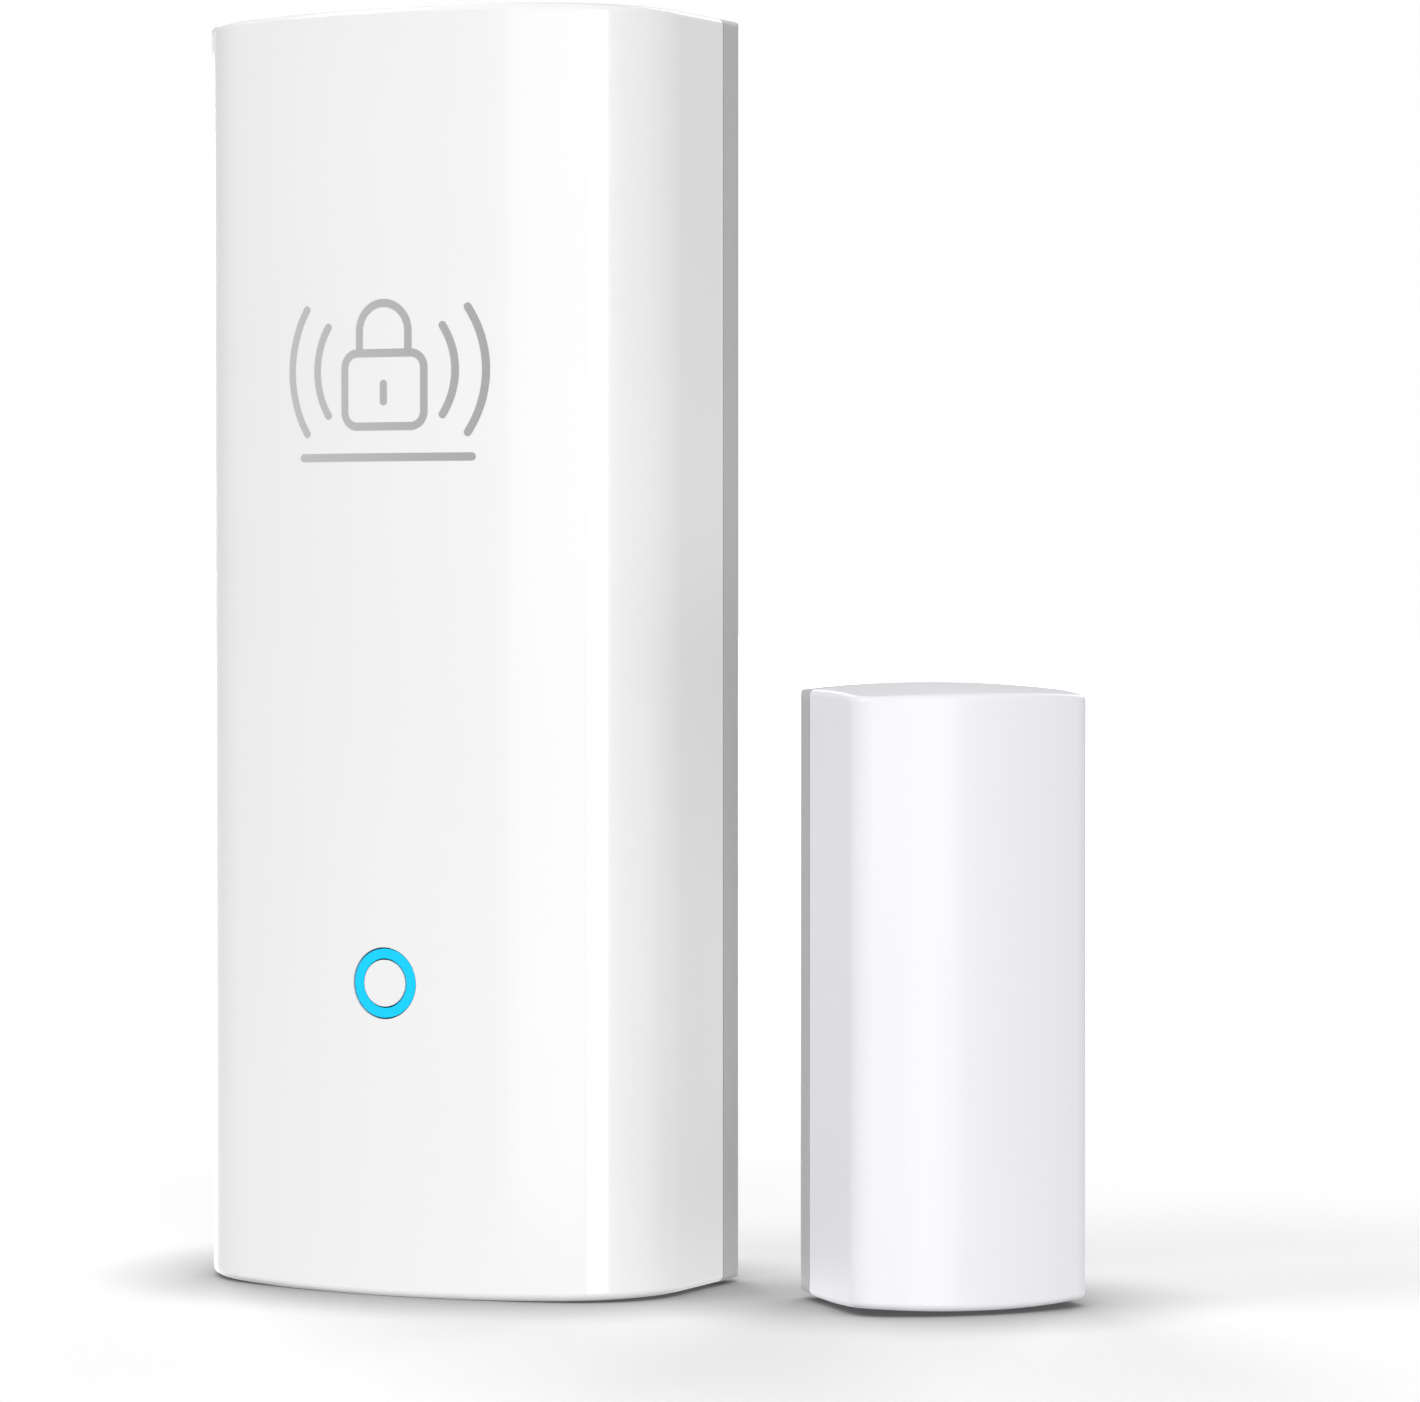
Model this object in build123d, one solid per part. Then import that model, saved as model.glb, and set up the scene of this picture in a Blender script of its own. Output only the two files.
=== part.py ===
from build123d import *
import os
from math import atan2, cos, pi, sin, sqrt

# Door contact sensor: a sensor unit and a separate magnet unit, both standing on their lower ends.
# Millimetres. X is across the sensor unit, Y runs from its front to its back, Z is up.
# The origin is the centre of the face of the sensor unit's adhesive pad, which goes on the door frame.

# ---------------------------------------------------------------- driving dimensions
HEIGHT = 88.0
WIDTH = 36.0
CROWN_RADIUS = 41.0
CORNER_RADIUS = 7.6
SEAM_DEPTH = 15.8
PLATE_DEPTH = 4.0
END_CROWN = 0.3
RIM_RADIUS = 0.5
WALL = 1.5
END_WALL = 2.0

MAGNET_HEIGHT = 42.0
MAGNET_WIDTH = 16.9
MAGNET_CROWN_RADIUS = 17.0
MAGNET_CORNER_RADIUS = 2.0
MAGNET_SEAM_DEPTH = 11.0
MAGNET_PLATE_DEPTH = 2.4
MAGNET_END_RADIUS = 75.0
MAGNET_END_PEAK = 9.8
MAGNET_FOOT_PEAK = 8.2
MAGNET_RIM_RADIUS = 0.45
MAGNET_WALL = 1.2
MAGNET_END_WALL = 1.6
MAGNET_OFFSET = (41.0, 9.0)
MAGNET_TURN = 46.5

SEAM_GAP = 0.12
PLATE_SIDE_RADIUS = 2.2
PLATE_END_RADIUS = 2.8
MAGNET_PLATE_SIDE_RADIUS = 0.9
MAGNET_PLATE_END_RADIUS = 1.4
MAGNET_PLATE_CORNER = 1.3
PLATE_FLOOR = 0.9
FOOT_CUT = 0.07
MAGNET_FOOT_CUT = 0.12

PAD_THICKNESS = 0.8
PAD_PROUD = 0.4
PAD_HALF_WIDTH = 12.5
PAD_HALF_HEIGHT = 26.0
PAD_CORNER = 2.0
MAGNET_PAD_HALF_WIDTH = 6.0
MAGNET_PAD_HALF_HEIGHT = 10.0
MAGNET_PAD_CORNER = 1.5
PAD_CLEARANCE = 0.2

RING_HEIGHT = -22.6
RING_OUTER_RADIUS = 2.36
RING_BORE_RADIUS = 1.70
RING_GAP = 0.1
CAP_GAP = 0.1
BUTTON_TRAVEL = 0.35

CELL_RADIUS = 8.5
CELL_LENGTH = 34.5
CELL_BOTTOM = 5.4

BOARD_WIDTH = 30.0
BOARD_BOTTOM = -41.2
BOARD_TOP = 1.6
BOARD_FRONT_DEPTH = 9.5
BOARD_THICKNESS = 1.0

REED_LENGTH = 14.0
REED_RADIUS = 1.1

WALL_SCREW_RADIUS = 1.8
WALL_SCREW_X = 11.4
WALL_SCREW_Z = 34.0
MAGNET_SCREW_RADIUS = 1.6
MAGNET_SCREW_Z = 14.0

# ---------------------------------------------------------------- derived dimensions
FRONT = -(SEAM_DEPTH + PLATE_DEPTH + PAD_PROUD)
SEAM = FRONT + SEAM_DEPTH
PLATE_BACK = -PAD_PROUD
FLOOR_FRONT = PLATE_BACK - PLATE_FLOOR
CAVITY_HALF_HEIGHT = HEIGHT / 2 - END_WALL
FAR = 200.0
OVER = 1.0

os.makedirs("parts", exist_ok=True)


def depth(distance):
    """The Y of a plane at this distance behind the foremost line of the sensor unit."""
    return FRONT + distance


BOARD_FRONT = depth(BOARD_FRONT_DEPTH)
BOARD_BACK = BOARD_FRONT + BOARD_THICKNESS


# ---------------------------------------------------------------- helpers
def block(x_range, y_range, z_range):
    """A box between two values on each axis."""
    sizes = [high - low for low, high in (x_range, y_range, z_range)]
    middle = [(low + high) / 2 for low, high in (x_range, y_range, z_range)]
    return Pos(*middle) * Box(*sizes)


def rod_y(radius, start, end, x=0.0, z=0.0):
    """A cylinder along Y."""
    return Pos(x, (start + end) / 2, z) * Rot(90, 0, 0) * Cylinder(radius, abs(end - start))


def rod_z(radius, start, end, x=0.0, y=0.0):
    """A cylinder along Z."""
    return Pos(x, y, (start + end) / 2) * Cylinder(radius, abs(end - start))


def countersunk_hole(radius, head_radius, front, back, place):
    """A through hole along Y, at an X and Z, whose cone opens towards the front."""
    x, z = place
    cone_depth = head_radius - radius
    cone = Pos(x, front + cone_depth / 2, z) * Rot(90, 0, 0) * Cone(radius, head_radius, cone_depth)
    return rod_y(radius, front - OVER, back + OVER, x, z) + cone


def d_profile(width, crown, corner, front, back, inset=0.0):
    """The D section seen from above: crowned front, rounded corners, straight sides, flat back."""
    corner_x = width / 2 - corner
    crown_y = front + crown
    corner_y = crown_y - sqrt((crown - corner) ** 2 - corner_x**2)
    turn = atan2(corner_x, crown_y - corner_y)
    middle = (turn + pi / 2) / 2
    side_x = width / 2 - inset
    crown_end = ((crown - inset) * sin(turn), crown_y - (crown - inset) * cos(turn))
    corner_middle = (
        corner_x + (corner - inset) * sin(middle),
        corner_y - (corner - inset) * cos(middle),
    )
    edges = [
        ThreePointArc((-crown_end[0], crown_end[1]), (0, front + inset), crown_end),
        ThreePointArc(crown_end, corner_middle, (side_x, corner_y)),
        Line((side_x, corner_y), (side_x, back)),
        Line((side_x, back), (-side_x, back)),
        Line((-side_x, back), (-side_x, corner_y)),
        ThreePointArc(
            (-side_x, corner_y),
            (-corner_middle[0], corner_middle[1]),
            (-crown_end[0], crown_end[1]),
        ),
    ]
    return make_face(edges)


def d_prism(size, front, back, half_height, inset=0.0):
    """The D section, given as (width, crown radius, corner radius), extruded both ways along Z."""
    return extrude(d_profile(*size, front, back, inset), amount=half_height, both=True)


def crowned_outline():
    """The sensor unit seen from the front: straight sides between two gently crowned ends."""
    half = WIDTH / 2
    top = HEIGHT / 2
    bottom = -HEIGHT / 2 - FOOT_CUT
    outline = [
        ThreePointArc((-half, top - END_CROWN), (0, top), (half, top - END_CROWN)),
        Line((half, top - END_CROWN), (half, bottom + END_CROWN)),
        ThreePointArc((half, bottom + END_CROWN), (0, bottom), (-half, bottom + END_CROWN)),
        Line((-half, bottom + END_CROWN), (-half, top - END_CROWN)),
    ]
    return make_face(outline)


def above(level):
    """All space above a level, which cuts a foot on a crowned lower end."""
    return block((-FAR, FAR), (-FAR, FAR), (level, FAR))


def back_rounded(span, front, back, radius):
    """A rectangle, across by depth, whose two back corners are rounded."""
    face = Pos(0, (front + back) / 2) * Rectangle(span, back - front)
    return fillet(face.vertices().sort_by(Axis.Y)[-2:], radius)


def plate_blank(width, height, front, back, side_radius, end_radius):
    """A plate whose back edges are rounded along its sides and its ends."""
    upright = Plane(origin=(0, 0, 0), x_dir=(0, 0, 1), z_dir=(-1, 0, 0))
    plan = extrude(back_rounded(width, front, back, side_radius), amount=height, both=True)
    side_view = upright * back_rounded(height, front, back, end_radius)
    return plan & extrude(side_view, amount=width, both=True)


def rim_edges(solid, half_height, seam):
    """The edges round both ends, but not those on the seam."""
    near_end = [e for e in solid.edges() if abs(e.center().Z) > half_height - 1.5]
    return [e for e in near_end if e.center().Y < seam - SEAM_GAP / 2]


def strip_along_y(outline, start, end):
    """An outline in X and Z, extruded from one Y to another."""
    face = Pos(0, end, 0) * (Plane.XZ * make_face(outline))
    return extrude(face, amount=end - start)


# ---------------------------------------------------------------- sensor unit: housing
SENSOR_SECTION = (WIDTH, CROWN_RADIUS, CORNER_RADIUS)
MAGNET_SECTION = (MAGNET_WIDTH, MAGNET_CROWN_RADIUS, MAGNET_CORNER_RADIUS)
BOSS_X = 11.4
LOWER_BOSS_Z = -37.0
UPPER_BOSS_Z = -1.4
BOSS_PLACES = [(x, z) for x in (-BOSS_X, BOSS_X) for z in (LOWER_BOSS_Z, UPPER_BOSS_Z)]
BOSS_RADIUS = 2.1
PILOT_RADIUS = 0.8
PILOT_DEPTH = 3.4
TONGUE_HEIGHTS = (-27.0, 27.0)
TONGUE_LENGTH = 5.0
TONGUE_HALF = 4.0
TONGUE_THICKNESS = 1.2
TONGUE_CLEARANCE = 0.15
COLLAR_RADIUS = RING_OUTER_RADIUS + 1.9
COLLAR_END_DEPTH = 2.6
NOTCH_HALF_WIDTH = 4.5
NOTCH_HALF_GAP = 0.6
NOTCH_HEIGHT = 1.2
HOUSING_BACK = SEAM - SEAM_GAP / 2
PLATE_FRONT = SEAM + SEAM_GAP / 2


def pry_notch():
    """The slot at the lower end of the seam that takes a coin to lift the unit off its plate."""
    lowest = -HEIGHT / 2
    return block(
        (-NOTCH_HALF_WIDTH, NOTCH_HALF_WIDTH),
        (SEAM - NOTCH_HALF_GAP, SEAM + NOTCH_HALF_GAP),
        (lowest - OVER, lowest + NOTCH_HEIGHT),
    )


def front_housing():
    ends = extrude(Plane.XZ * crowned_outline(), amount=FAR, both=True)
    outer = d_prism(SENSOR_SECTION, FRONT, HOUSING_BACK, HEIGHT / 2 + OVER) & ends
    outer = fillet(rim_edges(outer, HEIGHT / 2, HOUSING_BACK), RIM_RADIUS) & above(-HEIGHT / 2)
    cavity = d_prism(SENSOR_SECTION, FRONT, SEAM + OVER, CAVITY_HALF_HEIGHT, WALL)
    shell = outer - cavity
    bosses = [rod_y(BOSS_RADIUS, FRONT, BOARD_FRONT, x, z) for x, z in BOSS_PLACES]
    collar = rod_y(COLLAR_RADIUS, FRONT, depth(COLLAR_END_DEPTH), z=RING_HEIGHT)
    inside = d_prism(SENSOR_SECTION, FRONT, HOUSING_BACK, CAVITY_HALF_HEIGHT + WALL / 2, WALL / 2)
    shell += (Part() + bosses + collar) & inside
    pilot_front = BOARD_FRONT - PILOT_DEPTH
    pilots = [rod_y(PILOT_RADIUS, pilot_front, BOARD_FRONT + OVER, x, z) for x, z in BOSS_PLACES]
    hole_back = depth(COLLAR_END_DEPTH + OVER)
    ring_hole = rod_y(RING_OUTER_RADIUS + RING_GAP, FRONT - OVER, hole_back, z=RING_HEIGHT)
    return shell - pilots - ring_hole - pry_notch()


# ---------------------------------------------------------------- sensor unit: light ring and button
GUIDE_FRONT = depth(COLLAR_END_DEPTH)
GUIDE_BACK = GUIDE_FRONT + 0.9
GUIDE_RADIUS = 5.9
GUIDE_LEG_HALF = (0.8, 0.9)
LED_X = 4.7
LED_HALF = (0.8, 0.4)
LED_HEIGHT = 0.8
LED_GAP = 0.2
RING_SUNK = 0.08
CAP_SUNK = 0.05
CAP_FLANGE_RADIUS = 2.4
CAP_FLANGE_FRONT = GUIDE_BACK + 0.1
CAP_FLANGE_BACK = CAP_FLANGE_FRONT + 0.8
CAP_RADIUS = RING_BORE_RADIUS - CAP_GAP
SWITCH_HALF = 3.0
SWITCH_CORNER = 0.4
SWITCH_HEIGHT = 3.5
SWITCH_FRONT = BOARD_FRONT - SWITCH_HEIGHT
PLUNGER_RADIUS = 1.7
PLUNGER_CLEARANCE = 0.1
PLUNGER_BACK = SWITCH_FRONT + 1.2
WELL_BACK = PLUNGER_BACK + BUTTON_TRAVEL + 0.2


def light_ring():
    """The visible ring, its flange behind the wall, and two legs that fetch light from the LEDs."""
    ring = rod_y(RING_OUTER_RADIUS, FRONT - OVER, GUIDE_BACK, z=RING_HEIGHT)
    ring &= d_prism(SENSOR_SECTION, FRONT, SEAM, HEIGHT, RING_SUNK)
    flange = rod_y(GUIDE_RADIUS, GUIDE_FRONT, GUIDE_BACK, z=RING_HEIGHT)
    half_x, half_z = GUIDE_LEG_HALF
    legs = [
        block(
            (x - half_x, x + half_x),
            (GUIDE_FRONT, BOARD_FRONT - LED_HEIGHT - LED_GAP),
            (RING_HEIGHT - half_z, RING_HEIGHT + half_z),
        )
        for x in (-LED_X, LED_X)
    ]
    bore = rod_y(RING_BORE_RADIUS, FRONT - OVER, GUIDE_BACK + OVER, z=RING_HEIGHT)
    return ring + flange + legs - bore


def button_cap():
    """The white disc, its stem through the ring, and the flange that stops it behind the guide."""
    stem = rod_y(CAP_RADIUS, FRONT - OVER, CAP_FLANGE_BACK, z=RING_HEIGHT)
    stem &= d_prism(SENSOR_SECTION, FRONT, SEAM, HEIGHT, CAP_SUNK)
    return stem + rod_y(CAP_FLANGE_RADIUS, CAP_FLANGE_FRONT, CAP_FLANGE_BACK, z=RING_HEIGHT)


def switch_plunger():
    return rod_y(PLUNGER_RADIUS, CAP_FLANGE_BACK, PLUNGER_BACK, z=RING_HEIGHT)


def button_switch():
    """The square body of the push switch with the well that its plunger sinks into."""
    body = block(
        (-SWITCH_HALF, SWITCH_HALF),
        (SWITCH_FRONT, BOARD_FRONT),
        (RING_HEIGHT - SWITCH_HALF, RING_HEIGHT + SWITCH_HALF),
    )
    body = chamfer(body.edges().filter_by(Axis.Y), SWITCH_CORNER)
    well_radius = PLUNGER_RADIUS + PLUNGER_CLEARANCE
    return body - rod_y(well_radius, SWITCH_FRONT - OVER, WELL_BACK, z=RING_HEIGHT)


def status_leds():
    half_x, half_z = LED_HALF
    leds = [
        block(
            (x - half_x, x + half_x),
            (BOARD_FRONT - LED_HEIGHT, BOARD_FRONT),
            (RING_HEIGHT - half_z, RING_HEIGHT + half_z),
        )
        for x in (-LED_X, LED_X)
    ]
    return Compound(children=leds)


# ---------------------------------------------------------------- sensor unit: board and its parts
BOARD_CORNER = 2.0
BOARD_HOLE_RADIUS = 1.1
SCREW_HEAD_RADIUS = 1.9
SCREW_HEAD_HEIGHT = 1.2
SCREW_HEAD_EDGE = 0.5
SCREW_SHANK_RADIUS = 0.78
SCREW_REACH = 3.2
SCREW_SLOT = (1.3, 0.25, 0.5)
EAR_THICKNESS = 1.0
SHIELD_X = (-9.0, 4.0)
SHIELD_Z = (-38.5, -27.0)
SHIELD_HEIGHT = 2.2
SHIELD_WALL = 0.2
SHIELD_CORNER = 0.6
ANTENNA_X = (-12.6, -9.9)
ANTENNA_Z = (-23.0, -6.0)
ANTENNA_HEIGHT = 4.6
ANTENNA_THICKNESS = 0.4
CHIP_X = (-9.5, -2.5)
CHIP_Z = (-13.5, -6.5)
CHIP_HEIGHT = 0.9
CHIP_EDGE = 0.15
CRYSTAL = ((2.0, 5.2), 0.8, (-11.0, -8.5))
MEMORY = ((-6.0, -2.0), 1.5, (-12.0, -7.0))
COIL = ((1.0, 5.0), 2.0, (-20.0, -16.0))
CAPACITOR_COUNT = 6
CAPACITOR_FIRST_X = -7.0
CAPACITOR_PITCH = 2.2
CAPACITOR_WIDTH = 1.0
CAPACITOR_HEIGHT = 0.6
CAPACITOR_Z = (-33.0, -31.4)
REED_X = 11.6
REED_Y = BOARD_BACK + 1.7
REED_WALL = 0.3
REED_END_RADIUS = 0.5
REED_MIDDLE = -19.5
SEAL_LENGTH = 1.8
SEAL_GAP = 0.05
BLADE_OVERLAP = 1.0
BLADE_WIDTH = 0.9
BLADE_THICKNESS = 0.2
CONTACT_GAP = 0.02
LEAD_RADIUS = 0.25
LEAD_LENGTH = 1.8
LEAD_BEND = 0.8


def circuit_board():
    half = BOARD_WIDTH / 2
    board = block((-half, half), (BOARD_FRONT, BOARD_BACK), (BOARD_BOTTOM, BOARD_TOP))
    board = fillet(board.edges().filter_by(Axis.Y), BOARD_CORNER)
    return board - [
        rod_y(BOARD_HOLE_RADIUS, BOARD_FRONT - OVER, BOARD_BACK + OVER, x, z)
        for x, z in BOSS_PLACES
    ]


def board_screws():
    """Four slotted self-tapping screws; the upper two also hold the battery cradle's ears."""
    screws = []
    half_length, half_width, slot_depth = SCREW_SLOT
    for x, z in BOSS_PLACES:
        seat = BOARD_BACK + (EAR_THICKNESS if z == UPPER_BOSS_Z else 0)
        top = seat + SCREW_HEAD_HEIGHT
        head = rod_y(SCREW_HEAD_RADIUS, seat, top, x, z)
        head = fillet(head.edges().sort_by(Axis.Y)[-1], SCREW_HEAD_EDGE)
        shank = rod_y(SCREW_SHANK_RADIUS, BOARD_FRONT - SCREW_REACH, top - slot_depth, x, z)
        slot = block(
            (x - half_length, x + half_length),
            (top - slot_depth, top + OVER),
            (z - half_width, z + half_width),
        )
        screws.append(head + shank - slot)
    return Compound(children=screws)


def radio_shield():
    """A thin drawn can over the radio, open towards the board."""
    top = BOARD_BACK + SHIELD_HEIGHT
    outer = block(SHIELD_X, (BOARD_BACK, top), SHIELD_Z)
    outer = fillet(outer.edges().filter_by(Axis.Y), SHIELD_CORNER)
    return outer - block(
        (SHIELD_X[0] + SHIELD_WALL, SHIELD_X[1] - SHIELD_WALL),
        (BOARD_BACK - OVER, top - SHIELD_WALL),
        (SHIELD_Z[0] + SHIELD_WALL, SHIELD_Z[1] - SHIELD_WALL),
    )


def antenna_strip():
    """A stamped strip on two legs."""
    top = BOARD_BACK + ANTENNA_HEIGHT
    outer = block(ANTENNA_X, (BOARD_BACK, top), ANTENNA_Z)
    return outer - block(
        (ANTENNA_X[0] - OVER, ANTENNA_X[1] + OVER),
        (BOARD_BACK - OVER, top - ANTENNA_THICKNESS),
        (ANTENNA_Z[0] + ANTENNA_THICKNESS, ANTENNA_Z[1] - ANTENNA_THICKNESS),
    )


def controller_chip():
    chip = block(CHIP_X, (BOARD_FRONT - CHIP_HEIGHT, BOARD_FRONT), CHIP_Z)
    return chamfer(chip.faces().sort_by(Axis.Y)[0].edges(), CHIP_EDGE)


def small_components():
    """Crystal, memory, coil and a row of capacitors on both faces of the board."""
    x_range, height, z_range = CRYSTAL
    pieces = [block(x_range, (BOARD_FRONT - height, BOARD_FRONT), z_range)]
    for x_range, height, z_range in (MEMORY, COIL):
        pieces.append(block(x_range, (BOARD_BACK, BOARD_BACK + height), z_range))
    y_range = (BOARD_FRONT - CAPACITOR_HEIGHT, BOARD_FRONT)
    for index in range(CAPACITOR_COUNT):
        x = CAPACITOR_FIRST_X + CAPACITOR_PITCH * index
        pieces.append(block((x, x + CAPACITOR_WIDTH), y_range, CAPACITOR_Z))
    return Compound(children=pieces)


def reed_glass():
    """The sealed glass tube: hollow in the middle, solid round the blades at both ends."""
    low, high = REED_MIDDLE - REED_LENGTH / 2, REED_MIDDLE + REED_LENGTH / 2
    tube = rod_z(REED_RADIUS, low, high, REED_X, REED_Y)
    tube = fillet(tube.edges().filter_by(GeomType.CIRCLE), REED_END_RADIUS)
    tube -= rod_z(REED_RADIUS - REED_WALL, low + SEAL_LENGTH, high - SEAL_LENGTH, REED_X, REED_Y)
    return tube - rod_z(LEAD_RADIUS, low - OVER, high + OVER, REED_X, REED_Y)


def reed_blade(upper):
    """One flat blade with a round root, from its glass seal to just past the tube's middle."""
    sign = 1 if upper else -1
    root = REED_MIDDLE + sign * (REED_LENGTH / 2 - SEAL_LENGTH - SEAL_GAP - BLADE_THICKNESS / 2)
    tip = REED_MIDDLE - sign * BLADE_OVERLAP / 2
    middle_y = REED_Y + sign * (CONTACT_GAP + BLADE_THICKNESS) / 2
    half_x = BLADE_WIDTH / 2
    half_y = BLADE_THICKNESS / 2
    blade = block(
        (REED_X - half_x, REED_X + half_x),
        (middle_y - half_y, middle_y + half_y),
        (min(root, tip), max(root, tip)),
    )
    round_root = Pos(REED_X, middle_y, root) * Rot(0, 90, 0) * Cylinder(half_y, BLADE_WIDTH)
    return blade + round_root


def reed_leads():
    """Both round leads, from inside the glass seals, bent down to their pads on the board."""
    leads = []
    for sign in (-1, 1):
        inner = REED_MIDDLE + sign * (REED_LENGTH / 2 - SEAL_LENGTH)
        outer = REED_MIDDLE + sign * (REED_LENGTH / 2 + LEAD_LENGTH)
        path = FilletPolyline(
            (REED_X, REED_Y, inner),
            (REED_X, REED_Y, outer),
            (REED_X, BOARD_BACK, outer),
            radius=LEAD_BEND,
        )
        section = Plane(origin=path @ 0, z_dir=path % 0) * Circle(LEAD_RADIUS)
        leads.append(sweep(section, path))
    return Compound(children=leads)


# ---------------------------------------------------------------- sensor unit: battery
CELL_Y = depth(WALL + 0.15) + CELL_RADIUS
CELL_TOP = CELL_BOTTOM + CELL_LENGTH
CELL_EDGE = 0.7
GROOVE_BELOW_TOP = 2.4
GROOVE_HEIGHT = 0.8
GROOVE_DEPTH = 0.35
CAP_HEIGHT = 1.2
CAP_RADIUS_ON_CELL = 3.1
CAP_EDGE = 0.4
WASHER_RADII = (3.2, 7.3)
WASHER_THICKNESS = 0.3
CRADLE_HALF_WIDTH = 13.4
CRADLE_DEPTHS = (6.2, 15.0)
CRADLE_BOTTOM = 2.0
CRADLE_TOP = CAVITY_HALF_HEIGHT - 0.2
CRADLE_FLOOR = 3.4
CRADLE_CEILING = 40.4
CRADLE_ROOM = CELL_RADIUS + 0.25
EAR_X = ((-13.3, -8.8), (8.8, 13.3))
EAR_Z = (UPPER_BOSS_Z - 2.0, CRADLE_BOTTOM + 0.5)
CONTACT_THICKNESS = 0.3
CONTACT_HALF_WIDTH = 2.0
CONTACT_GAP_ROUND = 0.05
STRAP_X = -CRADLE_HALF_WIDTH - 0.4
STRAP_LIFT = 0.4
STRAP_FOOT_Z = (-6.5, -4.5)
POSITIVE_PLATE_END = 4.0
SPRING_PLATE_HALF = (6.0, 2.6)
SPRING_SPANS = (5.0, 4.4)
SPRING_GAP = 0.05
TAIL_BOTTOM = -0.6


def battery_can():
    """The cell's can, with the crimp groove under its positive end."""
    low = CELL_TOP - CAP_HEIGHT - GROOVE_BELOW_TOP
    high = low + GROOVE_HEIGHT
    can = rod_z(CELL_RADIUS, CELL_BOTTOM, CELL_TOP - CAP_HEIGHT, y=CELL_Y)
    can = fillet(can.edges().filter_by(GeomType.CIRCLE), CELL_EDGE)
    ring = rod_z(CELL_RADIUS + OVER, low, high, y=CELL_Y)
    return can - (ring - rod_z(CELL_RADIUS - GROOVE_DEPTH, low - OVER, high + OVER, y=CELL_Y))


def battery_washer():
    """The paper washer round the positive cap."""
    inner, outer = WASHER_RADII
    low = CELL_TOP - CAP_HEIGHT
    high = low + WASHER_THICKNESS
    disc = rod_z(outer, low, high, y=CELL_Y)
    return disc - rod_z(inner, low - OVER, high + OVER, y=CELL_Y)


def battery_cap():
    """The cell's positive cap."""
    cap = rod_z(CAP_RADIUS_ON_CELL, CELL_TOP - CAP_HEIGHT, CELL_TOP, y=CELL_Y)
    return fillet(cap.edges().sort_by(Axis.Z)[-1], CAP_EDGE)


def battery_cradle():
    """Two rails and two end walls round the cell, open to the back; its ears lie on the board."""
    low, high = [depth(distance) for distance in CRADLE_DEPTHS]
    half = CRADLE_HALF_WIDTH
    room = CRADLE_ROOM
    cradle = block((-half, half), (low, high), (CRADLE_BOTTOM, CRADLE_TOP))
    cradle &= d_prism(SENSOR_SECTION, FRONT, SEAM, HEIGHT / 2, WALL + 0.2)
    cradle -= rod_z(room, CRADLE_FLOOR, CRADLE_CEILING, y=CELL_Y)
    cradle -= block((-room, room), (CELL_Y, high + OVER), (CRADLE_FLOOR, CRADLE_CEILING))
    ear_y = (BOARD_BACK, BOARD_BACK + EAR_THICKNESS)
    ears = [block(x_range, ear_y, EAR_Z) for x_range in EAR_X]
    ear_holes = [
        rod_y(BOARD_HOLE_RADIUS, ear_y[0] - OVER, ear_y[1] + OVER, x, UPPER_BOSS_Z)
        for x in (-BOSS_X, BOSS_X)
    ]
    return cradle + ears - ear_holes - contact_slots()


def contact_slots():
    """The slots in the cradle that the strap and the tail of the two contacts pass through."""
    gap = CONTACT_GAP_ROUND
    half_width = CONTACT_HALF_WIDTH + gap
    strap_slot = block(
        (-CRADLE_HALF_WIDTH - OVER, OVER - CRADLE_ROOM),
        (CELL_Y - half_width, CELL_Y + half_width),
        (CRADLE_CEILING - CONTACT_THICKNESS - gap, CRADLE_CEILING + gap),
    )
    tail_slot = block(
        (-half_width, half_width),
        (BOARD_BACK - gap, BOARD_BACK + CONTACT_THICKNESS + gap),
        (CRADLE_BOTTOM - OVER, CRADLE_FLOOR + OVER),
    )
    return [strap_slot, tail_slot]


def positive_contact():
    """The plate over the cell's cap, with its strap down the cradle's side to the board."""
    top = CRADLE_CEILING
    low, high = CELL_Y - CONTACT_HALF_WIDTH, CELL_Y + CONTACT_HALF_WIDTH
    plate = block((STRAP_X, POSITIVE_PLATE_END), (low, high), (top - CONTACT_THICKNESS, top))
    strap_x = (STRAP_X, STRAP_X + CONTACT_THICKNESS)
    strap = block(strap_x, (BOARD_BACK + STRAP_LIFT, high), (STRAP_FOOT_Z[0], top))
    foot = block(strap_x, (BOARD_BACK, high), STRAP_FOOT_Z)
    return plate + strap + foot


def negative_contact():
    """The bowed leaf spring under the cell, with its tail down to the board."""
    base = CRADLE_FLOOR
    level = base + CONTACT_THICKNESS
    crest = CELL_BOTTOM - SPRING_GAP
    outer, inner = SPRING_SPANS
    half = CONTACT_HALF_WIDTH
    bow = strip_along_y(
        [
            ThreePointArc((-outer, level), (0, crest), (outer, level)),
            Line((outer, level), (inner, level)),
            ThreePointArc((inner, level), (0, crest - CONTACT_THICKNESS), (-inner, level)),
            Line((-inner, level), (-outer, level)),
        ],
        CELL_Y - half,
        CELL_Y + half,
    )
    plate_x, plate_y = SPRING_PLATE_HALF
    plate = block((-plate_x, plate_x), (CELL_Y - plate_y, CELL_Y + plate_y), (base, level))
    tail_y = (BOARD_BACK, BOARD_BACK + CONTACT_THICKNESS)
    tail = block((-half, half), tail_y, (TAIL_BOTTOM, level))
    return plate + bow + tail


# ---------------------------------------------------------------- sensor unit: base plate and pad
SCREW_BOSS_RADIUS = 4.6
SCREW_BOSS_DEPTH = 1.2
SCREW_SINK_RADIUS = 3.4
TONGUE_ROOT = 0.2


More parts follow.
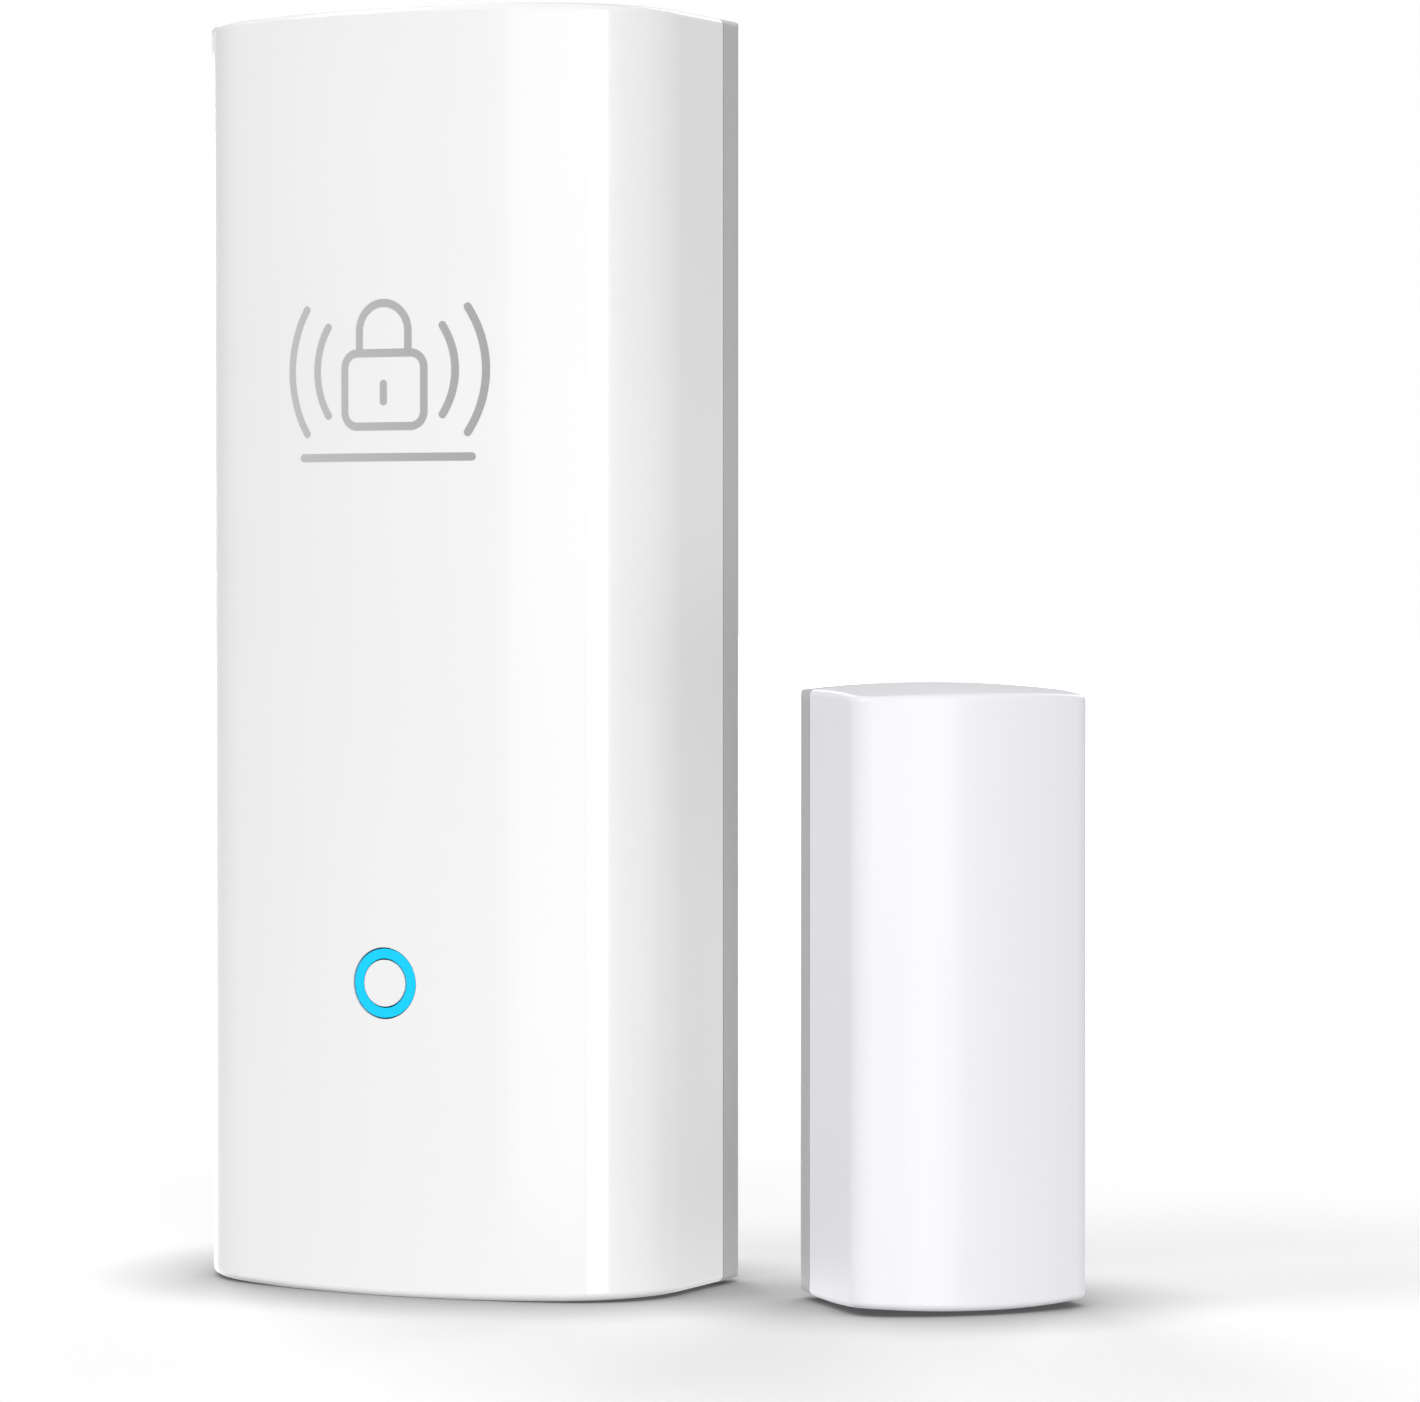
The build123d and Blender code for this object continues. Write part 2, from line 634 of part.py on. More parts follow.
def tongues(x_range, y_range, heights, half_length):
    """Guide tongues that enter the housing along both of its side walls."""
    pieces = []
    for sign in (-1, 1):
        xs = sorted(sign * x for x in x_range)
        pieces += [block(xs, y_range, (z - half_length, z + half_length)) for z in heights]
    return pieces


def base_plate():
    """A shallow tray with guide tongues, two screw bosses and a recess for the pad in its back."""
    edge_radii = (PLATE_SIDE_RADIUS, PLATE_END_RADIUS)
    blank = plate_blank(WIDTH, HEIGHT, PLATE_FRONT, PLATE_BACK, *edge_radii)
    front_view = fillet(crowned_outline().vertices(), RIM_RADIUS)
    blank &= extrude(Plane.XZ * front_view, amount=FAR, both=True)
    blank &= above(-HEIGHT / 2)
    inner_x = WIDTH / 2 - WALL
    inner_z = CAVITY_HALF_HEIGHT
    pocket_y = (PLATE_FRONT - OVER, FLOOR_FRONT)
    plate = blank - block((-inner_x, inner_x), pocket_y, (-inner_z, inner_z))
    tongue_x = inner_x - TONGUE_CLEARANCE
    tongue_y = (SEAM - TONGUE_LENGTH, FLOOR_FRONT + TONGUE_ROOT)
    plate += tongues((tongue_x - TONGUE_THICKNESS, tongue_x), tongue_y, TONGUE_HEIGHTS, TONGUE_HALF)
    screws = [(-WALL_SCREW_X, WALL_SCREW_Z), (WALL_SCREW_X, -WALL_SCREW_Z)]
    boss_front = FLOOR_FRONT - SCREW_BOSS_DEPTH
    radii = (WALL_SCREW_RADIUS, SCREW_SINK_RADIUS)
    plate += [rod_y(SCREW_BOSS_RADIUS, boss_front, PLATE_BACK, x, z) for x, z in screws]
    plate -= [countersunk_hole(*radii, boss_front, PLATE_BACK, at) for at in screws]
    plate -= pad_shape(PAD_HALF_WIDTH, PAD_HALF_HEIGHT, PAD_CORNER, 0, PAD_CLEARANCE)
    return plate - pry_notch()


def pad_shape(half_width, half_height, corner, back, clearance=0.0):
    """A foam pad with rounded corners, or with a clearance the recess that it lies in."""
    half_x, half_z = half_width + clearance, half_height + clearance
    slab = block((-half_x, half_x), (back - PAD_THICKNESS, back), (-half_z, half_z))
    return fillet(slab.edges().filter_by(Axis.Y), corner)


def adhesive_pad():
    return pad_shape(PAD_HALF_WIDTH, PAD_HALF_HEIGHT, PAD_CORNER, 0)


# ---------------------------------------------------------------- magnet unit, in its own frame
# Its foremost line is at Y 0 and its back is at +Y; its middle height is at Z 0.
MAGNET_BACK = MAGNET_SEAM_DEPTH + MAGNET_PLATE_DEPTH
MAGNET_CAVITY_HALF = MAGNET_HEIGHT / 2 - MAGNET_END_WALL
MAGNET_FLOOR = MAGNET_BACK - PLATE_FLOOR
BAR_HALF = (3.5, 13.0)
BAR_FRONT = 3.2
BAR_BACK = 8.0
BAR_EDGE = 0.3
TRAY_FRONT = MAGNET_WALL + 0.5
TRAY_BACK = 8.2
TRAY_WALL = 1.0
TRAY_CLEARANCE = 0.1
TRAY_TO_WALL = 0.05
FOAM_HALF = (2.5, 6.0)
FOAM_GAP = 0.1
MAGNET_TONGUE_THICKNESS = 1.0
MAGNET_TONGUE_LENGTH = 3.0
MAGNET_TONGUE_HALF = 5.0
MAGNET_BOSS_RADIUS = 3.8
MAGNET_BOSS_DEPTH = 0.8
MAGNET_SINK_RADIUS = 2.9


def magnet_ends():
    """All space between the magnet unit's two domed ends."""
    half = MAGNET_HEIGHT / 2
    ball = Rot(90, 0, 0) * Sphere(MAGNET_END_RADIUS)
    upper = Pos(0, MAGNET_END_PEAK, half - MAGNET_END_RADIUS) * ball
    return upper & (Pos(0, MAGNET_FOOT_PEAK, MAGNET_END_RADIUS - half - MAGNET_FOOT_CUT) * ball)


def magnet_housing():
    back = MAGNET_SEAM_DEPTH - SEAM_GAP / 2
    outer = d_prism(MAGNET_SECTION, 0, back, MAGNET_HEIGHT / 2 + OVER) & magnet_ends()
    outer = fillet(rim_edges(outer, MAGNET_HEIGHT / 2, back), MAGNET_RIM_RADIUS)
    outer &= above(-MAGNET_HEIGHT / 2)
    cavity = d_prism(MAGNET_SECTION, 0, back + OVER, MAGNET_CAVITY_HALF, MAGNET_WALL)
    return outer - cavity


def magnet_carrier():
    """The tray glued in the housing, open to the back, that the bar magnet lies in."""
    room_x, room_z = [half + TRAY_CLEARANCE for half in BAR_HALF]
    wide, high = room_x + TRAY_WALL, room_z + TRAY_WALL
    inset = MAGNET_WALL + TRAY_TO_WALL
    tray = block((-wide, wide), (TRAY_FRONT, TRAY_BACK), (-high, high))
    tray &= d_prism(MAGNET_SECTION, 0, MAGNET_BACK, MAGNET_HEIGHT / 2, inset)
    return tray - block((-room_x, room_x), (BAR_FRONT, TRAY_BACK + OVER), (-room_z, room_z))


def bar_magnet():
    half_x, half_z = BAR_HALF
    bar = block((-half_x, half_x), (BAR_FRONT, BAR_BACK), (-half_z, half_z))
    return chamfer(bar.edges(), BAR_EDGE)


def magnet_foam():
    """The foam block that keeps the magnet in its tray."""
    half_x, half_z = FOAM_HALF
    return block((-half_x, half_x), (BAR_BACK, MAGNET_FLOOR - FOAM_GAP), (-half_z, half_z))


def magnet_base_plate():
    front = MAGNET_SEAM_DEPTH + SEAM_GAP / 2
    edge_radii = (MAGNET_PLATE_SIDE_RADIUS, MAGNET_PLATE_END_RADIUS)
    blank = plate_blank(MAGNET_WIDTH, MAGNET_HEIGHT, front, MAGNET_BACK, *edge_radii)
    front_view = fillet(Rectangle(MAGNET_WIDTH, MAGNET_HEIGHT).vertices(), MAGNET_PLATE_CORNER)
    blank &= magnet_ends() & extrude(Plane.XZ * front_view, amount=FAR, both=True)
    blank &= above(-MAGNET_HEIGHT / 2)
    inner_x = MAGNET_WIDTH / 2 - MAGNET_WALL
    inner_z = MAGNET_CAVITY_HALF
    plate = blank - block((-inner_x, inner_x), (front - OVER, MAGNET_FLOOR), (-inner_z, inner_z))
    outer_x = inner_x - TONGUE_CLEARANCE
    tongue_x = (outer_x - MAGNET_TONGUE_THICKNESS, outer_x)
    tongue_y = (MAGNET_SEAM_DEPTH - MAGNET_TONGUE_LENGTH, MAGNET_FLOOR + TONGUE_ROOT)
    plate += tongues(tongue_x, tongue_y, (0.0,), MAGNET_TONGUE_HALF)
    screws = [(0, -MAGNET_SCREW_Z), (0, MAGNET_SCREW_Z)]
    boss_front = MAGNET_FLOOR - MAGNET_BOSS_DEPTH
    radii = (MAGNET_SCREW_RADIUS, MAGNET_SINK_RADIUS)
    plate += [rod_y(MAGNET_BOSS_RADIUS, boss_front, MAGNET_BACK, x, z) for x, z in screws]
    plate -= [countersunk_hole(*radii, boss_front, MAGNET_BACK, at) for at in screws]
    return plate - magnet_pad(PAD_CLEARANCE)


def magnet_pad(clearance=0.0):
    """The magnet unit's foam pad, or with a clearance its recess."""
    halves = (MAGNET_PAD_HALF_WIDTH, MAGNET_PAD_HALF_HEIGHT)
    return pad_shape(*halves, MAGNET_PAD_CORNER, MAGNET_BACK + PAD_PROUD, clearance)


def place_magnet(part):
    """Moves a piece from the magnet unit's own frame to where the unit stands beside the sensor."""
    height = (MAGNET_HEIGHT - HEIGHT) / 2
    across, back = MAGNET_OFFSET
    return Pos(across, FRONT + back, height) * Rot(0, 0, MAGNET_TURN) * part


# ---------------------------------------------------------------- all pieces
SENSOR_PIECES = {
    "front_housing": front_housing,
    "light_ring": light_ring,
    "button_cap": button_cap,
    "switch_plunger": switch_plunger,
    "button_switch": button_switch,
    "status_leds": status_leds,
    "circuit_board": circuit_board,
    "board_screws": board_screws,
    "radio_shield": radio_shield,
    "antenna_strip": antenna_strip,
    "controller_chip": controller_chip,
    "small_components": small_components,
    "reed_glass": reed_glass,
    "reed_moving_blade": lambda: reed_blade(upper=True),
    "reed_fixed_blade": lambda: reed_blade(upper=False),
    "reed_leads": reed_leads,
    "battery_can": battery_can,
    "battery_washer": battery_washer,
    "battery_cap": battery_cap,
    "battery_cradle": battery_cradle,
    "positive_contact": positive_contact,
    "negative_contact": negative_contact,
    "base_plate": base_plate,
    "adhesive_pad": adhesive_pad,
}
MAGNET_PIECES = {
    "magnet_housing": magnet_housing,
    "magnet_carrier": magnet_carrier,
    "bar_magnet": bar_magnet,
    "magnet_foam": magnet_foam,
    "magnet_base_plate": magnet_base_plate,
    "magnet_adhesive_pad": magnet_pad,
}

for name, make in SENSOR_PIECES.items():
    export_step(make(), f"parts/{name}.step")
for name, make in MAGNET_PIECES.items():
    export_step(place_magnet(make()), f"parts/{name}.step")
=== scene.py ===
import math

import bmesh
import bpy
from mathutils import Matrix, Vector, noise


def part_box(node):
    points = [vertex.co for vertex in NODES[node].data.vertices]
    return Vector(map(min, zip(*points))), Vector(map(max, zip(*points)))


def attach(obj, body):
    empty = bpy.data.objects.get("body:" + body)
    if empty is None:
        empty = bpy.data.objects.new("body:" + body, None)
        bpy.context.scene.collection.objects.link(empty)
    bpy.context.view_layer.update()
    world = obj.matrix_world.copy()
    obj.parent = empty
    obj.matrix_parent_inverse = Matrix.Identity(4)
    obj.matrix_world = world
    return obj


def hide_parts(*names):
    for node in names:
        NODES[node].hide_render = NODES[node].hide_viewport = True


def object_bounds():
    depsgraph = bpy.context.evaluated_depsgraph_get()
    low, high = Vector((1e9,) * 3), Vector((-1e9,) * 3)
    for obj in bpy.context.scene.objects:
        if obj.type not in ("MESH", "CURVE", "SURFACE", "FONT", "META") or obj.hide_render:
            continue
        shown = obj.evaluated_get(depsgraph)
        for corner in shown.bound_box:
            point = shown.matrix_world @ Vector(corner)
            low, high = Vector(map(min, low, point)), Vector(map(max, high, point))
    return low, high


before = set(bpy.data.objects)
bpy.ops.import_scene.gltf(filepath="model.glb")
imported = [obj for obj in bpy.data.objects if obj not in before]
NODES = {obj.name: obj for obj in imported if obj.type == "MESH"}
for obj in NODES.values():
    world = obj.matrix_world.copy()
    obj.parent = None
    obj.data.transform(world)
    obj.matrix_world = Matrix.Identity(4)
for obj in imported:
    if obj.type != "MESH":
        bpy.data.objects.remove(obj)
CAD_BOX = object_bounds()


# ---------------------------------------------------------------- camera
LENS = 145.3
CAMERA_PLACE = (0.1955, -0.3594, 0.00507)
CAMERA_HEADING = (-0.4493, 0.8934)
CAMERA_DIP = math.radians(1.23)


def make_camera():
    """The photo's view, from a perspective fit of both units' outlines."""
    camera_data = bpy.data.cameras.new("camera")
    camera_data.sensor_fit = "HORIZONTAL"
    camera_data.sensor_width = 36.0
    camera_data.lens = LENS
    camera_data.clip_start = 0.01
    camera_data.clip_end = 20.0
    camera = bpy.data.objects.new("camera", camera_data)
    bpy.context.scene.collection.objects.link(camera)
    camera.location = CAMERA_PLACE
    forward = Vector((*CAMERA_HEADING, -math.tan(CAMERA_DIP)))
    camera.rotation_euler = forward.to_track_quat("-Z", "Y").to_euler()
    bpy.context.scene.camera = camera


make_camera()


# ---------------------------------------------------------------- node materials
class Shader:
    """A material's node tree, with short calls for the nodes used here."""

    def __init__(self, name, **settings):
        self.material = bpy.data.materials.new(name)
        self.material.use_nodes = True
        self.tree = self.material.node_tree
        self.principled = self.tree.nodes["Principled BSDF"]
        for socket, value in settings.items():
            self.principled.inputs[socket.replace("_", " ")].default_value = value

    def node(self, kind, inputs=None, **properties):
        made = self.tree.nodes.new("ShaderNode" + kind)
        for key, value in properties.items():
            setattr(made, key, value)
        for key, value in (inputs or {}).items():
            self.put(made.inputs[key], value)
        return made

    def put(self, socket, value):
        if isinstance(value, bpy.types.NodeSocket):
            self.tree.links.new(value, socket)
        else:
            socket.default_value = value

    def set(self, socket, value):
        self.put(self.principled.inputs[socket], value)

    def place(self):
        """The point's place in the object's own frame, in metres."""
        return self.node("TexCoord").outputs["Object"]

    def axis(self, name):
        """One coordinate of the point's place, in metres."""
        return self.node("SeparateXYZ", {"Vector": self.place()}).outputs[name]

    def noise(self, scale, detail=2.0, where=None):
        inputs = {"Vector": where or self.place(), "Scale": scale, "Detail": detail}
        return self.node("TexNoise", inputs).outputs["Fac"]

    def cells(self, scale):
        """The distance to the nearest of scattered points."""
        inputs = {"Vector": self.place(), "Scale": scale}
        return self.node("TexVoronoi", inputs).outputs["Distance"]

    def stretched(self, factors):
        """The point's place, scaled by a factor along each axis."""
        made = self.node("VectorMath", operation="MULTIPLY")
        self.put(made.inputs[0], self.place())
        made.inputs[1].default_value = factors
        return made.outputs["Vector"]

    def span(self, value, low, high, to_low=0.0, to_high=1.0):
        """Maps low to high onto another range, and holds it at its ends."""
        inputs = {"Value": value, "From Min": low, "From Max": high}
        inputs.update({"To Min": to_low, "To Max": to_high})
        return self.node("MapRange", inputs).outputs["Result"]

    def varied(self, scale, low, high):
        """A value that drifts between two limits with a noise of the given scale."""
        return self.span(self.noise(scale), 0, 1, low, high)

    def math(self, operation, first, second):
        return self.node("Math", {0: first, 1: second}, operation=operation).outputs["Value"]

    def over(self, value, limit):
        """1 where a value is over a limit, and 0 elsewhere."""
        return self.math("GREATER_THAN", value, limit)

    def under(self, value, limit):
        """1 where a value is under a limit, and 0 elsewhere."""
        return self.math("LESS_THAN", value, limit)

    def both(self, first, second):
        """The product of two masks or values."""
        return self.math("MULTIPLY", first, second)

    def either(self, first, second):
        """The larger of two masks or values."""
        return self.math("MAXIMUM", first, second)

    def mix(self, fac, first, second):
        """A colour between the first, at 0, and the second, at 1."""
        made = self.node("Mix", data_type="RGBA")
        self.put(made.inputs["Factor"], fac)
        self.put(made.inputs["A"], first)
        self.put(made.inputs["B"], second)
        return made.outputs["Result"]

    def bump(self, height, distance):
        inputs = {"Height": height, "Distance": distance, "Strength": 1.0}
        self.set("Normal", self.node("Bump", inputs).outputs["Normal"])


def grey(value):
    return (value, value, value, 1.0)


def shade(colour, factor):
    """A colour made darker or lighter by a factor."""
    return tuple(min(1.0, c * factor) for c in colour[:3]) + (1.0,)


def moulded(name, colour, roughness, coat=0.0, grain=0.3e-6, variation=0.03):
    """Moulded plastic: faint flow shading, a sheen that varies a little, and a very fine grain."""
    shader = Shader(name, IOR=1.5, Coat_Weight=coat, Coat_Roughness=0.07)
    flow = shader.noise(60.0, 3.0)
    dark, light = shade(colour, 1 - variation / 2), shade(colour, 1 + variation / 2)
    shader.set("Base Color", shader.mix(flow, dark, light))
    shader.set("Roughness", shader.varied(900.0, roughness * 0.9, roughness * 1.1))
    shader.bump(shader.noise(9000.0, 3.0), grain)
    return shader.material


def metal(name, colour, roughness, brushed=(1.0, 1.0, 1.0), grain=0.6e-6):
    """Plated or tinned metal with fine rolling marks, stretched along one axis."""
    shader = Shader(name, Metallic=1.0)
    marks = shader.noise(2500.0, 4.0, shader.stretched(brushed))
    stain = shader.noise(300.0, 3.0)
    shader.set("Base Color", shader.mix(stain, shade(colour, 0.86), shade(colour, 1.08)))
    shader.set("Roughness", shader.span(marks, 0.3, 0.7, roughness * 0.75, roughness * 1.25))
    shader.bump(marks, grain)
    return shader.material


def foam(name, colour, cell_scale=2600.0, depth=14e-6):
    """Closed-cell foam: small round cells that differ in size, dull and slightly mottled, with
    painted shade darkening each cell's pit.
    """
    shader = Shader(name, Roughness=0.85)
    cells = shader.cells(cell_scale)
    mottle = shader.noise(500.0, 4.0)
    # Each cell's pit is darker where the bump dents it: painted shade in the pits.
    pore_shade = shader.mix(shader.span(cells, 0.1, 0.6), shade(colour, 0.72), shade(colour, 1.0))
    shader.set("Base Color", shader.mix(mottle, pore_shade, shade(colour, 1.06)))
    shader.bump(cells, depth)
    return shader.material


LIT_DEPTH = 0.13e-3


def lit_ring():
    """The light guide's plastic: its front ring is lit, and the rest is dull and dark blue,
    painted shade that keeps the gaps round the ring dark.
    """
    shader = Shader("lit_ring", Roughness=0.30, Specular_IOR_Level=0.15)
    face = shader.under(shader.axis("Y"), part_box("light_ring")[0].y + LIT_DEPTH)
    # Off the front face the plastic is dark: painted shade in the gaps round the ring.
    shader.set("Base Color", shader.mix(face, (0.02, 0.05, 0.08, 1), (0.001, 0.09, 0.22, 1)))
    cyan = shader.mix(shader.noise(700.0), (0.006, 0.64, 0.97, 1), (0.008, 0.68, 1.0, 1))
    shader.set("Emission Color", cyan)
    shader.set("Emission Strength", shader.both(face, 0.85))
    return shader.material


TRACE_FIELDS = (210.0, 0.0, 150.0)
TRACES_PER_METRE = 1250.0
TRACE_SHARE = 0.34


def board():
    """Solder mask over copper: vias, and fine parallel traces that turn from field to field."""
    shader = Shader("solder_mask", Coat_Weight=0.4, Coat_Roughness=0.15)
    fields = shader.node("VectorMath", {0: shader.stretched(TRACE_FIELDS)}, operation="FLOOR")
    chance = shader.node("TexWhiteNoise", {"Vector": fields.outputs["Vector"]}).outputs["Value"]
    lines = []
    for name in ("X", "Z"):
        part = shader.math("FRACT", shader.both(shader.axis(name), TRACES_PER_METRE), 0.0)
        lines.append(shader.under(part, TRACE_SHARE))
    upright, level = shader.under(chance, 0.36), shader.over(chance, 0.66)
    traces = shader.either(shader.both(upright, lines[0]), shader.both(level, lines[1]))
    via = shader.under(shader.cells(390.0), 0.075)
    mask = shader.mix(traces, (0.010, 0.085, 0.034, 1), (0.018, 0.165, 0.062, 1))
    mottled = shader.mix(shader.varied(500.0, 0, 0.25), mask, (0.012, 0.11, 0.05, 1))
    shader.set("Base Color", shader.mix(via, mottled, (0.60, 0.60, 0.56, 1)))
    shader.set("Metallic", via)
    shader.set("Roughness", shader.varied(800.0, 0.26, 0.40))
    shader.bump(shader.either(traces, via), 18e-6)
    return shader.material


CAPACITORS_TOP = -0.030
CAPACITOR_BODY = (-0.0326, -0.0318)
CRYSTAL_FOOT = -0.013


def small_parts():
    """Tin-ended ceramic capacitors, the crystal's metal can, and black moulded memory and coil."""
    shader = Shader("small_parts")
    x, z = shader.axis("X"), shader.axis("Z")
    capacitor = shader.under(z, CAPACITORS_TOP)
    body_low, body_high = CAPACITOR_BODY
    ends = shader.either(shader.under(z, body_low), shader.over(z, body_high))
    crystal = shader.both(shader.over(x, 0.0), shader.over(z, CRYSTAL_FOOT))
    tinned = shader.either(shader.both(capacitor, ends), crystal)
    ceramic = shader.mix(shader.noise(900.0), (0.30, 0.20, 0.12, 1), (0.38, 0.27, 0.17, 1))
    body = shader.mix(capacitor, grey(0.022), ceramic)
    shader.set("Base Color", shader.mix(tinned, body, (0.66, 0.65, 0.62, 1)))
    shader.set("Metallic", tinned)
    shader.set("Roughness", shader.varied(1500.0, 0.32, 0.5))
    shader.bump(shader.noise(3000.0, 3.0), 2e-6)
    return shader.material


def chip():
    """Black moulded epoxy with its fine matt skin."""
    shader = Shader("epoxy")
    shader.set("Base Color", shader.mix(shader.noise(1200.0), grey(0.016), grey(0.028)))
    shader.set("Roughness", shader.varied(4000.0, 0.45, 0.62))
    shader.bump(shader.noise(12000.0, 3.0), 2.5e-6)
    return shader.material


WRAP_SEAM = 0.68
WRAP_BAND = 0.27


def cell_wrap():
    """The cell's tight, glossy shrink wrap: two plain tones with a pale band between them."""
    low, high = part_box("battery_can")
    shader = Shader("cell_wrap", Coat_Weight=0.5, Coat_Roughness=0.08)
    z = shader.axis("Z")
    upper = shader.over(z, low.z + WRAP_SEAM * (high.z - low.z))
    band = shader.both(upper, shader.over(shader.span(z, low.z, high.z, 1, 0), WRAP_BAND))
    tones = shader.mix(upper, (0.020, 0.045, 0.16, 1), (0.55, 0.56, 0.58, 1))
    printed = shader.mix(band, tones, (0.75, 0.75, 0.73, 1))
    mottled = shader.mix(shader.span(shader.noise(400.0), 0.3, 0.7, 0, 0.12), printed, grey(0.5))
    shader.set("Base Color", mottled)
    shader.set("Roughness", shader.varied(700.0, 0.22, 0.38))
    shader.bump(shader.noise(350.0, 2.0, shader.stretched((1, 1, 0.25))), 25e-6)
    return shader.material


def glass():
    """The reed switch's greenish glass tube."""
    shader = Shader("reed_tube", Transmission_Weight=0.9, IOR=1.5)
    tint = shader.mix(shader.noise(500.0), (0.66, 0.88, 0.76, 1), (0.74, 0.93, 0.82, 1))
    shader.set("Base Color", tint)
    shader.set("Roughness", shader.varied(600.0, 0.03, 0.10))
    return shader.material


def ferrite():
    """Sintered magnet: dark, faintly speckled, ground flat."""
    shader = Shader("ferrite", Metallic=0.7)
    speck = shader.noise(3500.0, 4.0)
    shader.set("Base Color", shader.mix(speck, grey(0.07), grey(0.17)))
    shader.set("Roughness", shader.span(speck, 0.3, 0.7, 0.42, 0.62))
    shader.bump(speck, 4e-6)
    return shader.material


MARK_HALF_WIDTH = 0.0085


def printed_mark():
    """Grey print that turns darker from left to right: a painted sheen, standing in for the
    reflection of metallic ink.
    """
    shader = Shader("mark_ink", Roughness=0.38)
    # Lighter at the left and darker at the right: painted reflection.
    painted_sheen = shader.span(shader.axis("X"), -MARK_HALF_WIDTH, MARK_HALF_WIDTH)
    ink = shader.mix(painted_sheen, grey(0.50), grey(0.33))
    shader.set("Base Color", shader.mix(shader.varied(5000.0, 0, 0.1), ink, grey(0.6)))
    return shader.material


HOUSING = moulded("white_plastic", (0.83, 0.83, 0.832), 0.34, coat=0.7)
MAGNET_HOUSING = moulded("cool_white_plastic", (0.815, 0.81, 0.852), 0.36, coat=0.2)
PLATE = moulded("grey_plastic", (0.46, 0.46, 0.462), 0.5, grain=1.5e-6)
INNER = moulded("dark_plastic", (0.035, 0.035, 0.038), 0.45, grain=2e-6, variation=0.15)
RED = moulded("red_plastic", (0.42, 0.03, 0.025), 0.4, variation=0.08)
# A lighter copy of the cradle's dark plastic: painted highlight on the raised signs.
SIGN_HIGHLIGHT = moulded("sign_plastic", (0.10, 0.10, 0.105), 0.4, grain=1e-6, variation=0.1)
PAPER = moulded("paper_washer", (0.78, 0.77, 0.72), 0.8, variation=0.1)
LED = moulded("led_resin", (0.80, 0.82, 0.70), 0.2, coat=0.5, variation=0.08)
NICKEL = metal("nickel_plate", (0.66, 0.63, 0.57), 0.30, (1, 1, 0.15))
TIN = metal("tin_plate", (0.70, 0.70, 0.69), 0.36, (0.2, 1, 1))
ZINC = metal("zinc_plate", (0.56, 0.57, 0.58), 0.34)
TAPE = foam("foam_tape", (0.80, 0.80, 0.77))
BLOCK = foam("foam_block", (0.10, 0.10, 0.105), 1800.0, 30e-6)


def dress(material, *names):
    """Puts a material on CAD nodes in place of their plain ones."""
    for name in names:
        slots = NODES[name].data.materials
        slots.clear()
        slots.append(material)


dress(HOUSING, "front_housing", "button_cap")
dress(MAGNET_HOUSING, "magnet_housing")
dress(PLATE, "base_plate", "magnet_base_plate")
dress(lit_ring(), "light_ring")
dress(INNER, "battery_cradle", "magnet_carrier")
dress(RED, "switch_plunger")
dress(LED, "status_leds")
dress(NICKEL, "positive_contact", "negative_contact", "battery_cap")
dress(NICKEL, "reed_moving_blade", "reed_fixed_blade", "reed_leads")
dress(TIN, "radio_shield", "antenna_strip")
dress(ZINC, "board_screws")
dress(board(), "circuit_board")
dress(small_parts(), "small_components")
dress(chip(), "controller_chip", "button_switch")
dress(cell_wrap(), "battery_can")
dress(glass(), "reed_glass")
dress(ferrite(), "bar_magnet")
dress(PAPER, "battery_washer")


# ---------------------------------------------------------------- pieces
def add_piece(name, work, material, body, smooth_under=math.radians(40)):
    """A finished bmesh as an object that rides on a body and wears the given material."""
    bmesh.ops.recalc_face_normals(work, faces=work.faces)
    mesh = bpy.data.meshes.new(name)
    work.to_mesh(mesh)
    work.free()
    mesh.materials.append(material)
    mesh.shade_smooth()
    mesh.set_sharp_from_angle(angle=smooth_under)
    piece = bpy.data.objects.new(name, mesh)
    bpy.context.scene.collection.objects.link(piece)
    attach(piece, body)
    return piece


def arc(centre, radius, first, last, step=4):
    """Points on an arc, in millimetres, between two angles in degrees."""
    count = max(2, round(abs(last - first) / step))
    angles = [math.radians(first + (last - first) * i / count) for i in range(count + 1)]
    return [(centre[0] + radius * math.cos(a), centre[1] + radius * math.sin(a)) for a in angles]


def stroke_outline(points, width, closed):
    """The two sides of a line of even width, as lists of points; an open line has round ends."""
    left, right = [], []
    count = len(points)
    for i, point in enumerate(points):
        before = points[i - 1] if closed or i else point
        after = points[(i + 1) % count] if closed or i < count - 1 else point
        along = Vector((after[0] - before[0], after[1] - before[1])).normalized()
        side = Vector((-along.y, along.x)) * width / 2
        left.append(Vector(point) + side)
        right.append(Vector(point) - side)
    return left, right


def add_stroke(work, points, width, height_at, thickness, closed=False):
    """A raised line whose front lies on the surface that height_at gives for an X and a Z."""
    left, right = stroke_outline(points, width, closed)
    if not closed:
        left, right = taper_ends(points, left, right, width)
    rows = []
    for a, b in zip(left, right):
        row = []
        for x, z, lift in ((a.x, a.y, 0), (b.x, b.y, 0), (b.x, b.y, 1), (a.x, a.y, 1)):
            y = height_at(x, z) - thickness * lift
            row.append(work.verts.new((x / 1000, y / 1000, z / 1000)))
        rows.append(row)
    pairs = list(zip(rows, rows[1:])) + ([(rows[-1], rows[0])] if closed else [])
    for row, following in pairs:
        for i in range(4):
            j = (i + 1) % 4
            work.faces.new((row[i], row[j], following[j], following[i]))
    if not closed:
        work.faces.new(rows[0])
        work.faces.new(rows[-1][::-1])


